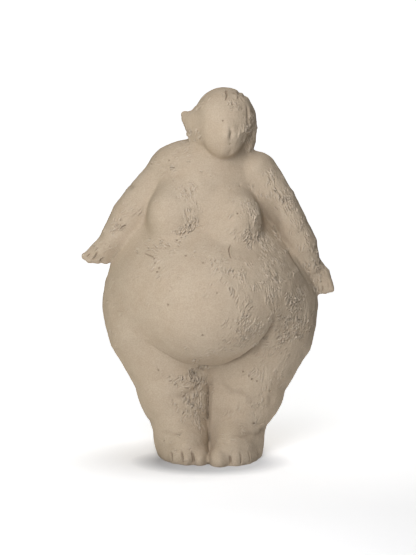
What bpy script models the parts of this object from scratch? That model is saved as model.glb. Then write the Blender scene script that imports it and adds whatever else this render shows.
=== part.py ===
"""A standing female figurine, hand-modelled and cast as one solid piece.

Metres, +Z up. The figure faces -Y, and its soles lie on z = 0 with the origin at the middle of its
footprint box. It stands as one solid: head, arms and legs are not separate pieces.

The form is built the way a sculptor blocks out clay. Round masses are placed on the figure, beads
fill them, a voxel remesh turns the beads into one skin, and the skin is drawn onto the surface where
the masses melt into one another.
"""

import math

import bmesh
import bpy
import numpy as np
from mathutils import Euler, Matrix

# Driving dimensions
HEIGHT = 0.300  # sole to crown
UNIT = HEIGHT / 300.0  # every proportion below is in three-hundredths of the height

# Fineness of the skin, in units
VOXEL = 2.4
TRIANGLES = 9400
PULL_ROUNDS = 4
PROBE = 0.25  # how far apart the form is sampled to find its steepest way
LEAST_SLOPE = 0.05  # keeps a step finite where the form is level, inside a mass

# Beads that fill the masses before the remesh
SWELL = 1.2  # how much fatter than its mass a bead is, so that no gap stays between neighbours
BEAD_SPACING = 0.4  # share of the limb's smallest radius
BEAD_FINENESS = 3  # subdivisions of an icosphere

# Surface finish
CLAY_COLOUR = (0.47, 0.385, 0.29, 1.0)
CLAY_ROUGHNESS = 0.92

WELD = 0.0001  # metres; slivers along the cut soles are closed up
LEFT, RIGHT = -1, 1  # the viewer's left and right, facing the figure


class Ball:
    """An ellipsoid mass: its centre, three radii, and a turn about X, Y and Z in degrees."""

    def __init__(self, centre, radii, turn=(0, 0, 0)):
        self.centre = np.array(centre, float) * UNIT
        self.radii = np.array(radii, float) * UNIT
        self.turn = Euler([math.radians(angle) for angle in turn]).to_matrix()

    def distance(self, points):
        local = (points - self.centre) @ np.array(self.turn)
        near = np.linalg.norm(local / self.radii, axis=1)
        steep = np.linalg.norm(local / self.radii**2, axis=1)
        return near * (near - 1) / np.maximum(steep, 1e-9)

    def beads(self, swell):
        scale = Matrix.Diagonal([*(self.radii + swell), 1])
        yield Matrix.Translation(self.centre) @ self.turn.to_4x4() @ scale


class Limb:
    """A round, tapering mass through stations of (point, radius)."""

    def __init__(self, *stations):
        self.points = [np.array(point, float) * UNIT for point, _ in stations]
        self.radii = [radius * UNIT for _, radius in stations]

    def spans(self):
        ends = list(zip(self.points, self.radii))
        return zip(ends[:-1], ends[1:])

    def distance(self, points):
        nearest = np.full(len(points), np.inf)
        for (start, start_radius), (end, end_radius) in self.spans():
            along = end - start
            away = points - start
            share = np.clip(away @ along / (along @ along), 0, 1)
            reach = np.linalg.norm(away - share[:, None] * along, axis=1)
            nearest = np.minimum(nearest, reach - start_radius - share * (end_radius - start_radius))
        return nearest

    def beads(self, swell):
        for (start, start_radius), (end, end_radius) in self.spans():
            spacing = BEAD_SPACING * min(start_radius, end_radius)
            count = 2 + int(np.linalg.norm(end - start) / spacing)
            for share in np.linspace(0, 1, count):
                radius = start_radius + share * (end_radius - start_radius) + swell
                yield Matrix.Translation(start + share * (end - start)) @ Matrix.Scale(radius, 4)


class Melt:
    """Masses melted into one another, so that each seam is rounded over about reach units."""

    def __init__(self, reach, *masses):
        self.reach = reach * UNIT
        self.masses = masses

    def distance(self, points):
        joined = self.masses[0].distance(points)
        for mass in self.masses[1:]:
            added = mass.distance(points)
            share = np.clip(0.5 + 0.5 * (added - joined) / self.reach, 0, 1)
            joined = added + share * (joined - added) - self.reach * share * (1 - share)
        return joined

    def beads(self, swell):
        for mass in self.masses:
            yield from mass.beads(swell)


def trunk():
    """Hips, waist, rib cage and rounded shoulders, which carry the rest."""
    return Melt(
        20,
        Ball((1.6, 4, 121), (89.3, 52, 63)),
        Ball((-4.5, 11, 159), (71, 41, 60)),
        Ball((0, -3, 144), (68, 49, 41)),
        Ball((-2, 7, 210), (43, 32, 40)),
        Ball((-8, 0, 205), (20, 29, 30)),
        Ball((2, 10.5, 230.5), (49, 24, 22)),
    )


def buttock(side):
    return Ball((side * 33 + 1, 33, 107), (38, 35, 45))


def upper_belly():
    """The belly's swell at the waist and towards the flanks, which runs softly into the trunk."""
    return Ball((0, -13, 132), (70, 54, 52))


def belly():
    """The great round belly, whose lower edge overhangs the thighs."""
    return Ball((-0.5, -18, 127), (61.5, 55, 53))


def breast(side):
    """A heavy breast that leans back at the top and is fullest low down."""
    if side == LEFT:
        return Ball((-30, -21.5, 197.5), (19, 19, 21.5), (-22, 0, 0))
    return Ball((21.8, -23.5, 193.5), (22, 20.5, 24), (-20, 0, 0))


def toes(side):
    """Five toes, the big one innermost: (x, y, width, length, height)."""
    if side == LEFT:
        row = (
            (-6.6, -50, 7.4, 16, 9.0),
            (-17.0, -49, 6.2, 16, 8.6),
            (-26.0, -43, 5.6, 15, 8.0),
            (-31.8, -36, 4.6, 13, 6.6),
            (-35.6, -27, 3.6, 11, 6.0),
        )
    else:
        row = (
            (9.0, -54, 9.2, 17, 9.6),
            (22.2, -51, 6.6, 16, 8.8),
            (30.4, -44, 5.4, 15, 8.2),
            (35.8, -36, 4.8, 13, 6.8),
            (40.0, -27, 3.6, 11, 6.2),
        )
    return [Ball((x, y, 2.5), (width, length, height)) for x, y, width, length, height in row]


def leg(side):
    """Heavy thigh, calf and short foot of one side."""
    if side == LEFT:
        inner_edge = Limb(((-16, -2, 80), 14), ((-13, -4, 45), 13), ((-12, -8, 20), 12))
        thigh = Limb(((-40, 6, 97), 41.8), ((-29.5, -2, 60), 31.4))
        calf = Ball((-25.5, -4, 42), (28.5, 30, 22))
        ankle = Limb(((-23.2, -8, 28), 23), ((-22.2, -18, 15), 23))
        foot = Ball((-17.5, -26, 2), (19.5, 35, 26.5))
    else:
        thigh = Limb(((45.5, 8, 96), 41.4), ((32.8, -2, 60), 32.2))
        inner_edge = Limb(((14, -8, 82), 14), ((13, -11, 45), 13), ((11.5, -14, 20), 11.5))
        calf = Ball((28.7, -4, 41), (29, 30, 22))
        ankle = Limb(((25, -8, 28), 22.5), ((23.6, -18, 15), 22.6))
        foot = Ball((20.5, -27, 2), (20.5, 38, 26.5))
    return Melt(3.5, Melt(10, thigh, calf, ankle, foot, inner_edge), *toes(side))


def hand(side):
    """A flat mitten of a hand with four short fingers turned away from the hip."""
    if side == LEFT:
        palm = Ball((-89, 2, 165), (12, 6, 8.5), (0, -25, 0))
        fingers = [
            Limb(((-92, 1, 164), 4.2), ((-101.5, 0, 161.5), 3.0)),
            Limb(((-90, 1, 163), 4.2), ((-97.5, 0, 158.5), 3.0)),
            Limb(((-87, 1, 163), 4.2), ((-91, 0, 158.5), 3.0)),
            Limb(((-82, 1, 163), 4.2), ((-84.5, 0, 158), 3.2)),
        ]
    else:
        palm = Ball((90, 2, 147), (8.6, 6, 13.5), (0, -25, 0))
        fingers = [
            Limb(((95.5, 1, 147), 4.4), ((101, 0, 134.6), 3.2)),
            Limb(((92.5, 1, 145), 4.6), ((96.3, 0, 133.4), 3.3)),
            Limb(((89.5, 1, 145), 4.6), ((91, 0, 133.4), 3.4)),
            Limb(((86, 1, 145), 4.4), ((85.8, 0, 133.8), 3.2)),
        ]
    return Melt(2.5, palm, *fingers)


def arm(side):
    """Arm held out along the flank, which it touches all the way down."""
    if side == LEFT:
        stations = (
            ((-34, 10, 230), 16),
            ((-50, 5, 209.5), 17.8),
            ((-64.5, 2, 194), 15.4),
            ((-75.6, 1, 177.5), 13.2),
            ((-85, 1.5, 167.5), 9.2),
        )
    else:
        stations = (
            ((39, 4, 227.5), 19.8),
            ((56, -3, 208), 15.4),
            ((67.8, -5, 189), 13.6),
            ((77, -4, 171.5), 12.6),
            ((84.2, -1, 154), 8.8),
        )
    return Melt(4, Limb(*stations), hand(side))


def head():
    """Head bowed over the chest, with a bob of hair that flicks out on one side."""
    crown = Ball((13.2, -4, 276.8), (24.2, 24, 23.2))
    brow = Ball((13, -10, 272), (19.5, 20, 20))
    face = Ball((12, -18, 264), (17.5, 15, 21.2), (-8, 0, 0))
    nose = Limb(((14.5, -28.5, 269), 3.5), ((15, -31, 262), 4.4))
    nape = Ball((10, 8, 260), (24, 17, 22))
    hanging_lock = Ball((32.5, 2, 266), (7.3, 12, 20.5))
    left_curtain = Ball((-3, -4, 265), (13, 13, 17))
    flick = Limb(
        ((-2, -4, 268), 12),
        ((-11.5, -3, 271.5), 7.6),
        ((-17, -2, 274.6), 5),
        ((-19.4, -1, 277.6), 3),
    )
    skull = Melt(9, crown, brow, face, nape)
    hair = Melt(8, Melt(6, skull, nose), left_curtain, flick)
    return Melt(2.5, hair, hanging_lock)


def neck():
    return Melt(
        10,
        Limb(((6, 10, 234), 24), ((12, 0, 256), 19)),
        Ball((-14, 10, 239), (30.5, 20, 16.5)),
    )


def figure():
    """The whole figure, its masses joined from the largest seam to the finest."""
    legs = Melt(2.5, leg(LEFT), leg(RIGHT))
    seat = Melt(14, trunk(), upper_belly(), buttock(LEFT), buttock(RIGHT))
    body = Melt(9, seat, legs)
    body = Melt(4, body, belly())
    body = Melt(12, body, breast(LEFT))
    body = Melt(10, body, breast(RIGHT))
    body = Melt(10, body, neck())
    body = Melt(4, body, head())
    return Melt(3.5, body, arm(LEFT), arm(RIGHT))


def new_object(name, mesh, collection):
    made = bpy.data.objects.new(name, mesh)
    collection.objects.link(made)
    return made


def evaluated_mesh(source):
    """The mesh of an object with its modifiers applied."""
    bpy.context.view_layer.update()
    graph = bpy.context.evaluated_depsgraph_get()
    return bpy.data.meshes.new_from_object(source.evaluated_get(graph))


def block_out(form, voxel, collection):
    """One rough skin round all the masses, from a bead at every place that they fill."""
    bm = bmesh.new()
    for bead in form.beads(SWELL * UNIT):
        bmesh.ops.create_icosphere(bm, subdivisions=BEAD_FINENESS, radius=1, matrix=bead)
    mesh = bpy.data.meshes.new("blocked_masses")
    bm.to_mesh(mesh)
    bm.free()
    blocked = new_object("blocked_masses", mesh, collection)
    skin = blocked.modifiers.new("Skin", "REMESH")
    skin.mode = "VOXEL"
    skin.voxel_size = voxel
    made = evaluated_mesh(blocked)
    bpy.data.objects.remove(blocked)
    return made


def positions(mesh):
    points = np.empty(len(mesh.vertices) * 3)
    mesh.vertices.foreach_get("co", points)
    return points.reshape(-1, 3)


def pull(form, points, step):
    """Moves each point onto the form's surface, along its steepest way."""
    corners = np.array([(1, -1, -1), (-1, -1, 1), (-1, 1, -1), (1, 1, 1)], float)
    probe = PROBE * UNIT
    samples = [form.distance(points + corner * probe) for corner in corners]
    slope = sum(sample[:, None] * corner for sample, corner in zip(samples, corners)) / (4 * probe)
    depth = sum(samples) / 4
    steepness = np.maximum((slope**2).sum(axis=1), LEAST_SLOPE)
    move = slope * (depth / steepness)[:, None]
    length = np.linalg.norm(move, axis=1)
    return points - move * np.minimum(1, step / np.maximum(length, 1e-12))[:, None]


def even_out(points, edges):
    """Half a step of each point towards the middle of its neighbours, to space them evenly."""
    total = np.zeros_like(points)
    count = np.zeros(len(points))
    for a, b in (edges.T, edges.T[::-1]):
        np.add.at(total, a, points[b])
        np.add.at(count, a, 1)
    return 0.5 * points + 0.5 * total / count[:, None]


def carve(form, voxel, collection):
    """The skin of the form, drawn onto its surface."""
    mesh = block_out(form, voxel * UNIT, collection)
    edges = np.empty(len(mesh.edges) * 2, int)
    mesh.edges.foreach_get("vertices", edges)
    edges = edges.reshape(-1, 2)
    points = positions(mesh)
    for _ in range(PULL_ROUNDS):
        points = pull(form, even_out(points, edges), 2 * voxel * UNIT)
    points = pull(form, points, voxel * UNIT)
    mesh.vertices.foreach_set("co", points.ravel())
    mesh.update()
    return mesh


def clay():
    made = bpy.data.materials.new("pale_clay")
    made.use_nodes = True
    surface = made.node_tree.nodes["Principled BSDF"]
    surface.inputs["Base Color"].default_value = CLAY_COLOUR
    surface.inputs["Roughness"].default_value = CLAY_ROUGHNESS
    surface.inputs["Metallic"].default_value = 0.0
    return made


def below_the_floor(collection):
    """A cutter that takes away all below z = 0, so that the soles are flat."""
    bm = bmesh.new()
    bmesh.ops.create_cube(bm, size=2 * HEIGHT, matrix=Matrix.Translation((0, 0, -HEIGHT)))
    mesh = bpy.data.meshes.new("floor_cutter")
    bm.to_mesh(mesh)
    bm.free()
    cutter = new_object("floor_cutter", mesh, collection)
    cutter.hide_render = True
    cutter.display_type = "WIRE"
    return cutter


def reduce(mesh, collection, cutters):
    """The carved skin with fewer faces and its soles cut flat."""
    rough = new_object("rough_figurine", mesh, collection)
    thin = rough.modifiers.new("Fewer faces", "DECIMATE")
    thin.ratio = TRIANGLES / sum(len(face.vertices) - 2 for face in mesh.polygons)
    cut = rough.modifiers.new("Flat soles", "BOOLEAN")
    cut.operation = "DIFFERENCE"
    cut.object = below_the_floor(cutters)
    made = evaluated_mesh(rough)
    bpy.data.objects.remove(rough)
    weld(made)
    return made


def weld(mesh):
    bm = bmesh.new()
    bm.from_mesh(mesh)
    bmesh.ops.remove_doubles(bm, verts=bm.verts, dist=WELD)
    bm.to_mesh(mesh)
    bm.free()


def centre_on_footprint(mesh):
    points = positions(mesh)
    middle = (points.min(axis=0) + points.max(axis=0)) / 2
    mesh.transform(Matrix.Translation((-middle[0], -middle[1], 0)))


def build():
    for old in list(bpy.data.objects):
        bpy.data.objects.remove(old)
    parts = bpy.data.collections.new("female_figurine")
    cutters = bpy.data.collections.new("cutters")
    for collection in (parts, cutters):
        bpy.context.scene.collection.children.link(collection)
    mesh = reduce(carve(figure(), VOXEL, parts), parts, cutters)
    centre_on_footprint(mesh)
    mesh.name = "female_figurine"
    mesh.materials.clear()
    mesh.materials.append(clay())
    mesh.shade_smooth()
    new_object("female_figurine", mesh, parts)


build()
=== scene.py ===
"""Studio scene of a standing female figurine, hand-modelled in pale clay.

The figurine is one piece. The script lays the same round masses as the solid has, draws a fine skin
over them, works the clay's surface into it as real relief (uneven modelling, brushed streaks, torn
crinkles, folds, cracks and pinholes), and thins the skin where it is smooth.
Lengths inside the figure are in units, each one three-hundredth of its height; the scene is in metres.
The figure faces -Y, and left and right are the viewer's.
"""

import itertools
import math

import bmesh
import bpy
import numpy as np
from mathutils import Euler, Matrix, Vector
from mathutils.bvhtree import BVHTree
from mathutils.kdtree import KDTree


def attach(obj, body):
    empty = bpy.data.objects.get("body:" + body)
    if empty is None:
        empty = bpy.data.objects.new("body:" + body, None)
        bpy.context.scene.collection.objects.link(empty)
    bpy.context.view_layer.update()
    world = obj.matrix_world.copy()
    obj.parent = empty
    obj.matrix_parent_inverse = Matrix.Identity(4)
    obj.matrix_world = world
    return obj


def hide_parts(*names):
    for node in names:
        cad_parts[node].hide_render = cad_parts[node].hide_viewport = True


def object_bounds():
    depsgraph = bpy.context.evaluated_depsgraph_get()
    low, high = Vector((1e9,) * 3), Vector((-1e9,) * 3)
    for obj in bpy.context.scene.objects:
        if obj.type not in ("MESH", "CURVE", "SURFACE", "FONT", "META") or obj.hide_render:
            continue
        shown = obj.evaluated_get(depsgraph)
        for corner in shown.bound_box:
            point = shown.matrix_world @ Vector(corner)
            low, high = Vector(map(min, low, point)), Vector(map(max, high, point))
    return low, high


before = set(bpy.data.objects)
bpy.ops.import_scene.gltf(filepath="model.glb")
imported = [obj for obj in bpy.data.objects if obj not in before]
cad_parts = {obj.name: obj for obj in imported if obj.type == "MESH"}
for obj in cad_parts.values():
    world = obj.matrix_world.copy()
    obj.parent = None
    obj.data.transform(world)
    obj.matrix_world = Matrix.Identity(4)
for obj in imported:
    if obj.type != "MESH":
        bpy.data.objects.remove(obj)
CAD_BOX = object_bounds()

NODE = "female_figurine"
BODY = "root"

# Scale
HEIGHT = CAD_BOX[1].z
UNITS_HIGH = 300.0
UNIT = HEIGHT / UNITS_HIGH

# Fineness of the skin, in units
VOXEL = 0.56
TRIANGLES = 195000
EVEN_ROUNDS = 8
PULL_ROUNDS = 5
PROBE = 0.25
LEAST_SLOPE = 0.05
SWELL = 1.2
BEAD_SPACING = 0.4
BEAD_FINENESS = 3

LEFT, RIGHT = -1, 1
SEED = 7


# The masses, as on the solid


def lengths(vectors):
    return np.sqrt(np.einsum("ij,ij->i", vectors, vectors))


class Ball:
    """An ellipsoid mass: its centre, three radii, and a turn about X, Y and Z in degrees."""

    def __init__(self, centre, radii, turn=(0, 0, 0)):
        self.centre = np.array(centre, float) * UNIT
        self.radii = np.array(radii, float) * UNIT
        self.turn = Euler([math.radians(angle) for angle in turn]).to_matrix()
        self.middle, self.size = self.centre, max(self.radii)

    def distance(self, points):
        local = (points - self.centre) @ np.array(self.turn)
        near = lengths(local / self.radii)
        steep = lengths(local / self.radii**2)
        return near * (near - 1) / np.maximum(steep, 1e-9)

    def beads(self, swell):
        scale = Matrix.Diagonal([*(self.radii + swell), 1])
        yield Matrix.Translation(self.centre) @ self.turn.to_4x4() @ scale


class Limb:
    """A round, tapering mass through stations of (point, radius)."""

    def __init__(self, *stations):
        self.points = [np.array(point, float) * UNIT for point, _ in stations]
        self.radii = [radius * UNIT for _, radius in stations]
        self.middle = sum(self.points) / len(self.points)
        ends = zip(self.points, self.radii)
        self.size = max(np.linalg.norm(point - self.middle) + radius for point, radius in ends)

    def spans(self):
        ends = list(zip(self.points, self.radii))
        return zip(ends[:-1], ends[1:])

    def distance(self, points):
        nearest = np.full(len(points), np.inf)
        for (start, start_radius), (end, end_radius) in self.spans():
            along = end - start
            away = points - start
            share = np.clip(away @ along / (along @ along), 0, 1)
            reach = lengths(away - share[:, None] * along)
            nearest = np.minimum(nearest, reach - start_radius - share * (end_radius - start_radius))
        return nearest

    def beads(self, swell):
        for (start, start_radius), (end, end_radius) in self.spans():
            spacing = BEAD_SPACING * min(start_radius, end_radius)
            count = 2 + int(np.linalg.norm(end - start) / spacing)
            for share in np.linspace(0, 1, count):
                radius = start_radius + share * (end_radius - start_radius) + swell
                yield Matrix.Translation(start + share * (end - start)) @ Matrix.Scale(radius, 4)


class Melt:
    """Masses melted into one another, so that each seam is rounded over about reach units."""

    def __init__(self, reach, *masses):
        self.reach = reach * UNIT
        self.masses = masses
        self.middle = sum(mass.middle for mass in masses) / len(masses)
        self.size = max(np.linalg.norm(mass.middle - self.middle) + mass.size for mass in masses)

    def distance(self, points):
        """A mass is left out of the sum where it lies too far off to matter."""
        joined = self.masses[0].distance(points)
        for mass in self.masses[1:]:
            away = lengths(points - mass.middle) - mass.size
            near = np.nonzero(away < joined + self.reach)[0]
            added, before = mass.distance(points[near]), joined[near]
            share = np.clip(0.5 + 0.5 * (added - before) / self.reach, 0, 1)
            joined[near] = added + share * (before - added) - self.reach * share * (1 - share)
        return joined

    def beads(self, swell):
        for mass in self.masses:
            yield from mass.beads(swell)


def trunk():
    """Hips, waist, rib cage and rounded shoulders, which carry the rest."""
    return Melt(
        20,
        Ball((1.6, 4, 121), (89.3, 52, 63)),
        Ball((-4.5, 11, 159), (71, 41, 60)),
        Ball((0, -3, 144), (68, 49, 41)),
        Ball((-2, 7, 210), (43, 32, 40)),
        Ball((-8, 0, 205), (20, 29, 30)),
        Ball((2, 10.5, 230.5), (49, 24, 22)),
    )


def buttock(side):
    return Ball((side * 33 + 1, 33, 107), (38, 35, 45))


def upper_belly():
    """The belly's swell at the waist and towards the flanks, which runs softly into the trunk."""
    return Ball((0, -13, 132), (70, 54, 52))


def belly():
    """The great round belly, whose lower edge overhangs the thighs."""
    return Ball((-0.5, -18, 127), (61.5, 55, 53))


def breast(side):
    """A heavy breast that leans back at the top and is fullest low down."""
    if side == LEFT:
        return Ball((-30, -21.5, 197.5), (19, 19, 21.5), (-22, 0, 0))
    return Ball((21.8, -23.5, 193.5), (22, 20.5, 24), (-20, 0, 0))


def toes(side):
    """Five toes, the big one innermost: (x, y, width, length, height)."""
    if side == LEFT:
        row = (
            (-6.6, -50, 7.4, 16, 9.0),
            (-17.0, -49, 6.2, 16, 8.6),
            (-26.0, -43, 5.6, 15, 8.0),
            (-31.8, -36, 4.6, 13, 6.6),
            (-35.6, -27, 3.6, 11, 6.0),
        )
    else:
        row = (
            (9.0, -54, 9.2, 17, 9.6),
            (22.2, -51, 6.6, 16, 8.8),
            (30.4, -44, 5.4, 15, 8.2),
            (35.8, -36, 4.8, 13, 6.8),
            (40.0, -27, 3.6, 11, 6.2),
        )
    return [Ball((x, y, 2.5), (width, length, height)) for x, y, width, length, height in row]


def leg(side):
    """Heavy thigh, calf and short foot of one side."""
    if side == LEFT:
        inner_edge = Limb(((-16, -2, 80), 14), ((-13, -4, 45), 13), ((-12, -8, 20), 12))
        thigh = Limb(((-40, 6, 97), 41.8), ((-29.5, -2, 60), 31.4))
        calf = Ball((-25.5, -4, 42), (28.5, 30, 22))
        ankle = Limb(((-23.2, -8, 28), 23), ((-22.2, -18, 15), 23))
        foot = Ball((-17.5, -26, 2), (19.5, 35, 26.5))
    else:
        thigh = Limb(((45.5, 8, 96), 41.4), ((32.8, -2, 60), 32.2))
        inner_edge = Limb(((14, -8, 82), 14), ((13, -11, 45), 13), ((11.5, -14, 20), 11.5))
        calf = Ball((28.7, -4, 41), (29, 30, 22))
        ankle = Limb(((25, -8, 28), 22.5), ((23.6, -18, 15), 22.6))
        foot = Ball((20.5, -27, 2), (20.5, 38, 26.5))
    return Melt(3.5, Melt(10, thigh, calf, ankle, foot, inner_edge), *toes(side))


def hand(side):
    """A flat mitten of a hand with four short fingers turned away from the hip."""
    if side == LEFT:
        palm = Ball((-89, 2, 165), (12, 6, 8.5), (0, -25, 0))
        fingers = [
            Limb(((-92, 1, 164), 4.2), ((-101.5, 0, 161.5), 3.0)),
            Limb(((-90, 1, 163), 4.2), ((-97.5, 0, 158.5), 3.0)),
            Limb(((-87, 1, 163), 4.2), ((-91, 0, 158.5), 3.0)),
            Limb(((-82, 1, 163), 4.2), ((-84.5, 0, 158), 3.2)),
        ]
    else:
        palm = Ball((90, 2, 147), (8.6, 6, 13.5), (0, -25, 0))
        fingers = [
            Limb(((95.5, 1, 147), 4.4), ((101, 0, 134.6), 3.2)),
            Limb(((92.5, 1, 145), 4.6), ((96.3, 0, 133.4), 3.3)),
            Limb(((89.5, 1, 145), 4.6), ((91, 0, 133.4), 3.4)),
            Limb(((86, 1, 145), 4.4), ((85.8, 0, 133.8), 3.2)),
        ]
    return Melt(2.5, palm, *fingers)


def arm(side):
    """Arm held out along the flank, which it touches all the way down."""
    if side == LEFT:
        stations = (
            ((-34, 10, 230), 16),
            ((-50, 5, 209.5), 17.8),
            ((-64.5, 2, 194), 15.4),
            ((-75.6, 1, 177.5), 13.2),
            ((-85, 1.5, 167.5), 9.2),
        )
    else:
        stations = (
            ((39, 4, 227.5), 19.8),
            ((56, -3, 208), 15.4),
            ((67.8, -5, 189), 13.6),
            ((77, -4, 171.5), 12.6),
            ((84.2, -1, 154), 8.8),
        )
    return Melt(4, Limb(*stations), hand(side))


def head():
    """Head bowed over the chest, with a bob of hair that flicks out on one side."""
    crown = Ball((13.2, -4, 276.8), (24.2, 24, 23.2))
    brow = Ball((13, -10, 272), (19.5, 20, 20))
    face = Ball((12, -18, 264), (17.5, 15, 21.2), (-8, 0, 0))
    nose = Limb(((14.5, -28.5, 269), 3.5), ((15, -31, 262), 4.4))
    nape = Ball((10, 8, 260), (24, 17, 22))
    hanging_lock = Ball((32.5, 2, 266), (7.3, 12, 20.5))
    left_curtain = Ball((-3, -4, 265), (13, 13, 17))
    flick = Limb(
        ((-2, -4, 268), 12),
        ((-11.5, -3, 271.5), 7.6),
        ((-17, -2, 274.6), 5),
        ((-19.4, -1, 277.6), 3),
    )
    skull = Melt(9, crown, brow, face, nape)
    hair = Melt(8, Melt(6, skull, nose), left_curtain, flick)
    return Melt(2.5, hair, hanging_lock)


def neck():
    return Melt(
        10,
        Limb(((6, 10, 234), 24), ((12, 0, 256), 19)),
        Ball((-14, 10, 239), (30.5, 20, 16.5)),
    )


def figure():
    """The whole figure, its masses joined from the largest seam to the finest."""
    legs = Melt(2.5, leg(LEFT), leg(RIGHT))
    seat = Melt(14, trunk(), upper_belly(), buttock(LEFT), buttock(RIGHT))
    body = Melt(9, seat, legs)
    body = Melt(4, body, belly())
    body = Melt(12, body, breast(LEFT))
    body = Melt(10, body, breast(RIGHT))
    body = Melt(10, body, neck())
    body = Melt(4, body, head())
    return Melt(3.5, body, arm(LEFT), arm(RIGHT))


# The skin


def new_object(name, mesh):
    made = bpy.data.objects.new(name, mesh)
    bpy.context.scene.collection.objects.link(made)
    return made


def evaluated_mesh(source):
    """The mesh of an object with its modifiers applied."""
    bpy.context.view_layer.update()
    graph = bpy.context.evaluated_depsgraph_get()
    return bpy.data.meshes.new_from_object(source.evaluated_get(graph))


def block_out(form, voxel):
    """One rough skin round all the masses, from a bead at every place that they fill."""
    bm = bmesh.new()
    for bead in form.beads(SWELL * UNIT):
        bmesh.ops.create_icosphere(bm, subdivisions=BEAD_FINENESS, radius=1, matrix=bead)
    mesh = bpy.data.meshes.new("blocked_masses")
    bm.to_mesh(mesh)
    bm.free()
    blocked = new_object("blocked_masses", mesh)
    skin = blocked.modifiers.new("Skin", "REMESH")
    skin.mode = "VOXEL"
    skin.voxel_size = voxel
    made = evaluated_mesh(blocked)
    bpy.data.objects.remove(blocked)
    return made


def positions(mesh):
    points = np.empty(len(mesh.vertices) * 3)
    mesh.vertices.foreach_get("co", points)
    return points.reshape(-1, 3)


def normals(mesh):
    found = np.empty(len(mesh.vertices) * 3, np.float32)
    mesh.vertex_normals.foreach_get("vector", found)
    return found.reshape(-1, 3).astype(float)


def put(mesh, points):
    mesh.vertices.foreach_set("co", points.ravel())
    mesh.update()


def pull(form, points, step):
    """Moves each point onto the form's surface, along its steepest way."""
    corners = np.array([(1, -1, -1), (-1, -1, 1), (-1, 1, -1), (1, 1, 1)], float)
    probe = PROBE * UNIT
    samples = [form.distance(points + corner * probe) for corner in corners]
    slope = sum(sample[:, None] * corner for sample, corner in zip(samples, corners)) / (4 * probe)
    depth = sum(samples) / 4
    steepness = np.maximum((slope**2).sum(axis=1), LEAST_SLOPE)
    move = slope * (depth / steepness)[:, None]
    length = np.linalg.norm(move, axis=1)
    return points - move * np.minimum(1, step / np.maximum(length, 1e-12))[:, None]


def even_out(points, edges):
    """Half a step of each point towards the middle of its neighbours, to space them evenly."""
    total = np.zeros_like(points)
    count = np.zeros(len(points))
    for a, b in (edges.T, edges.T[::-1]):
        for axis in range(3):
            total[:, axis] += np.bincount(a, points[b, axis], len(points))
        count += np.bincount(a, minlength=len(points))
    return 0.5 * points + 0.5 * total / count[:, None]


def carve(form, voxel):
    """The skin of the form, drawn onto its surface."""
    mesh = block_out(form, voxel * UNIT)
    edges = np.empty(len(mesh.edges) * 2, np.int32)
    mesh.edges.foreach_get("vertices", edges)
    edges = edges.reshape(-1, 2)
    points = positions(mesh)
    for _ in range(EVEN_ROUNDS):
        points = even_out(points, edges)
    for _ in range(PULL_ROUNDS):
        points = pull(form, even_out(points, edges), 2 * UNIT)
    put(mesh, points)
    return mesh


def stand_in_cad_box(mesh):
    """Moves the skin over the middle of the solid's footprint."""
    points = positions(mesh)
    middle = (points.min(axis=0) + points.max(axis=0)) / 2
    low, high = CAD_BOX
    wanted = (low + high) / 2
    mesh.transform(Matrix.Translation((wanted.x - middle[0], wanted.y - middle[1], 0)))


# The clay's relief

FRONT, BACK = (0, 1, 0), (0, -1, 0)
FROM_LEFT, FROM_RIGHT = (1, 0, 0), (-1, 0, 0)

# Cells of the noise before it repeats, and the shift that keeps its grid off the figure's middle
LATTICE = 48
NOISE_SHIFT = 0.37

# Hand modelling: (size, height) of each layer of dabs; the last fades towards the back
DABS = ((24, 0.50), (9, 0.36))
FINE_DABS = (3.6, 0.16)
BRUSH_HEIGHT = 0.18

# Torn ridges: their sizes across, into and along the tear for a grain of 1, and of the clumps they form
TEAR_BROAD = np.array((1.8, 1.8, 5.5))
TEAR_FINE = np.array((1.1, 1.1, 3.4))
TEAR_CLUMP = (6, 6, 8)
TEAR_STRENGTH = 2.5
LEAST_WEIGHT = 0.03

# Tears side by side: how far they spread over their patch, how much they turn, and how many are pushed up
TEAR_SPREAD = 0.7
TEAR_TURN = 16
TEAR_SHAKE = 9
PUSHED_UP = 0.4
LEAST_FACING = 0.25


def noise(points, sizes, seed):
    """Smooth random values from -1 to 1, which change over about sizes units along each axis."""
    table = np.random.default_rng(SEED + seed).uniform(-1, 1, (LATTICE,) * 3)
    place = points / (np.array(sizes) * UNIT) + NOISE_SHIFT
    cell = np.floor(place).astype(np.int64)
    share = place - cell
    share = share * share * (3 - 2 * share)
    low, high = cell % LATTICE, (cell + 1) % LATTICE
    total = np.zeros(len(points))
    for corner in itertools.product((0, 1), repeat=3):
        x, y, z = [(high if up else low)[:, axis] for axis, up in enumerate(corner)]
        a, b, c = [share[:, axis] if up else 1 - share[:, axis] for axis, up in enumerate(corner)]
        total += a * b * c * table[x, y, z]
    return total


def spot(points, x, z, width, height):
    """A soft round weight on the front view, 1 in its middle."""
    across = (points[:, 0] / UNIT - x) / width
    up = (points[:, 2] / UNIT - z) / height
    return np.exp(-(across**2) - up**2)


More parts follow.
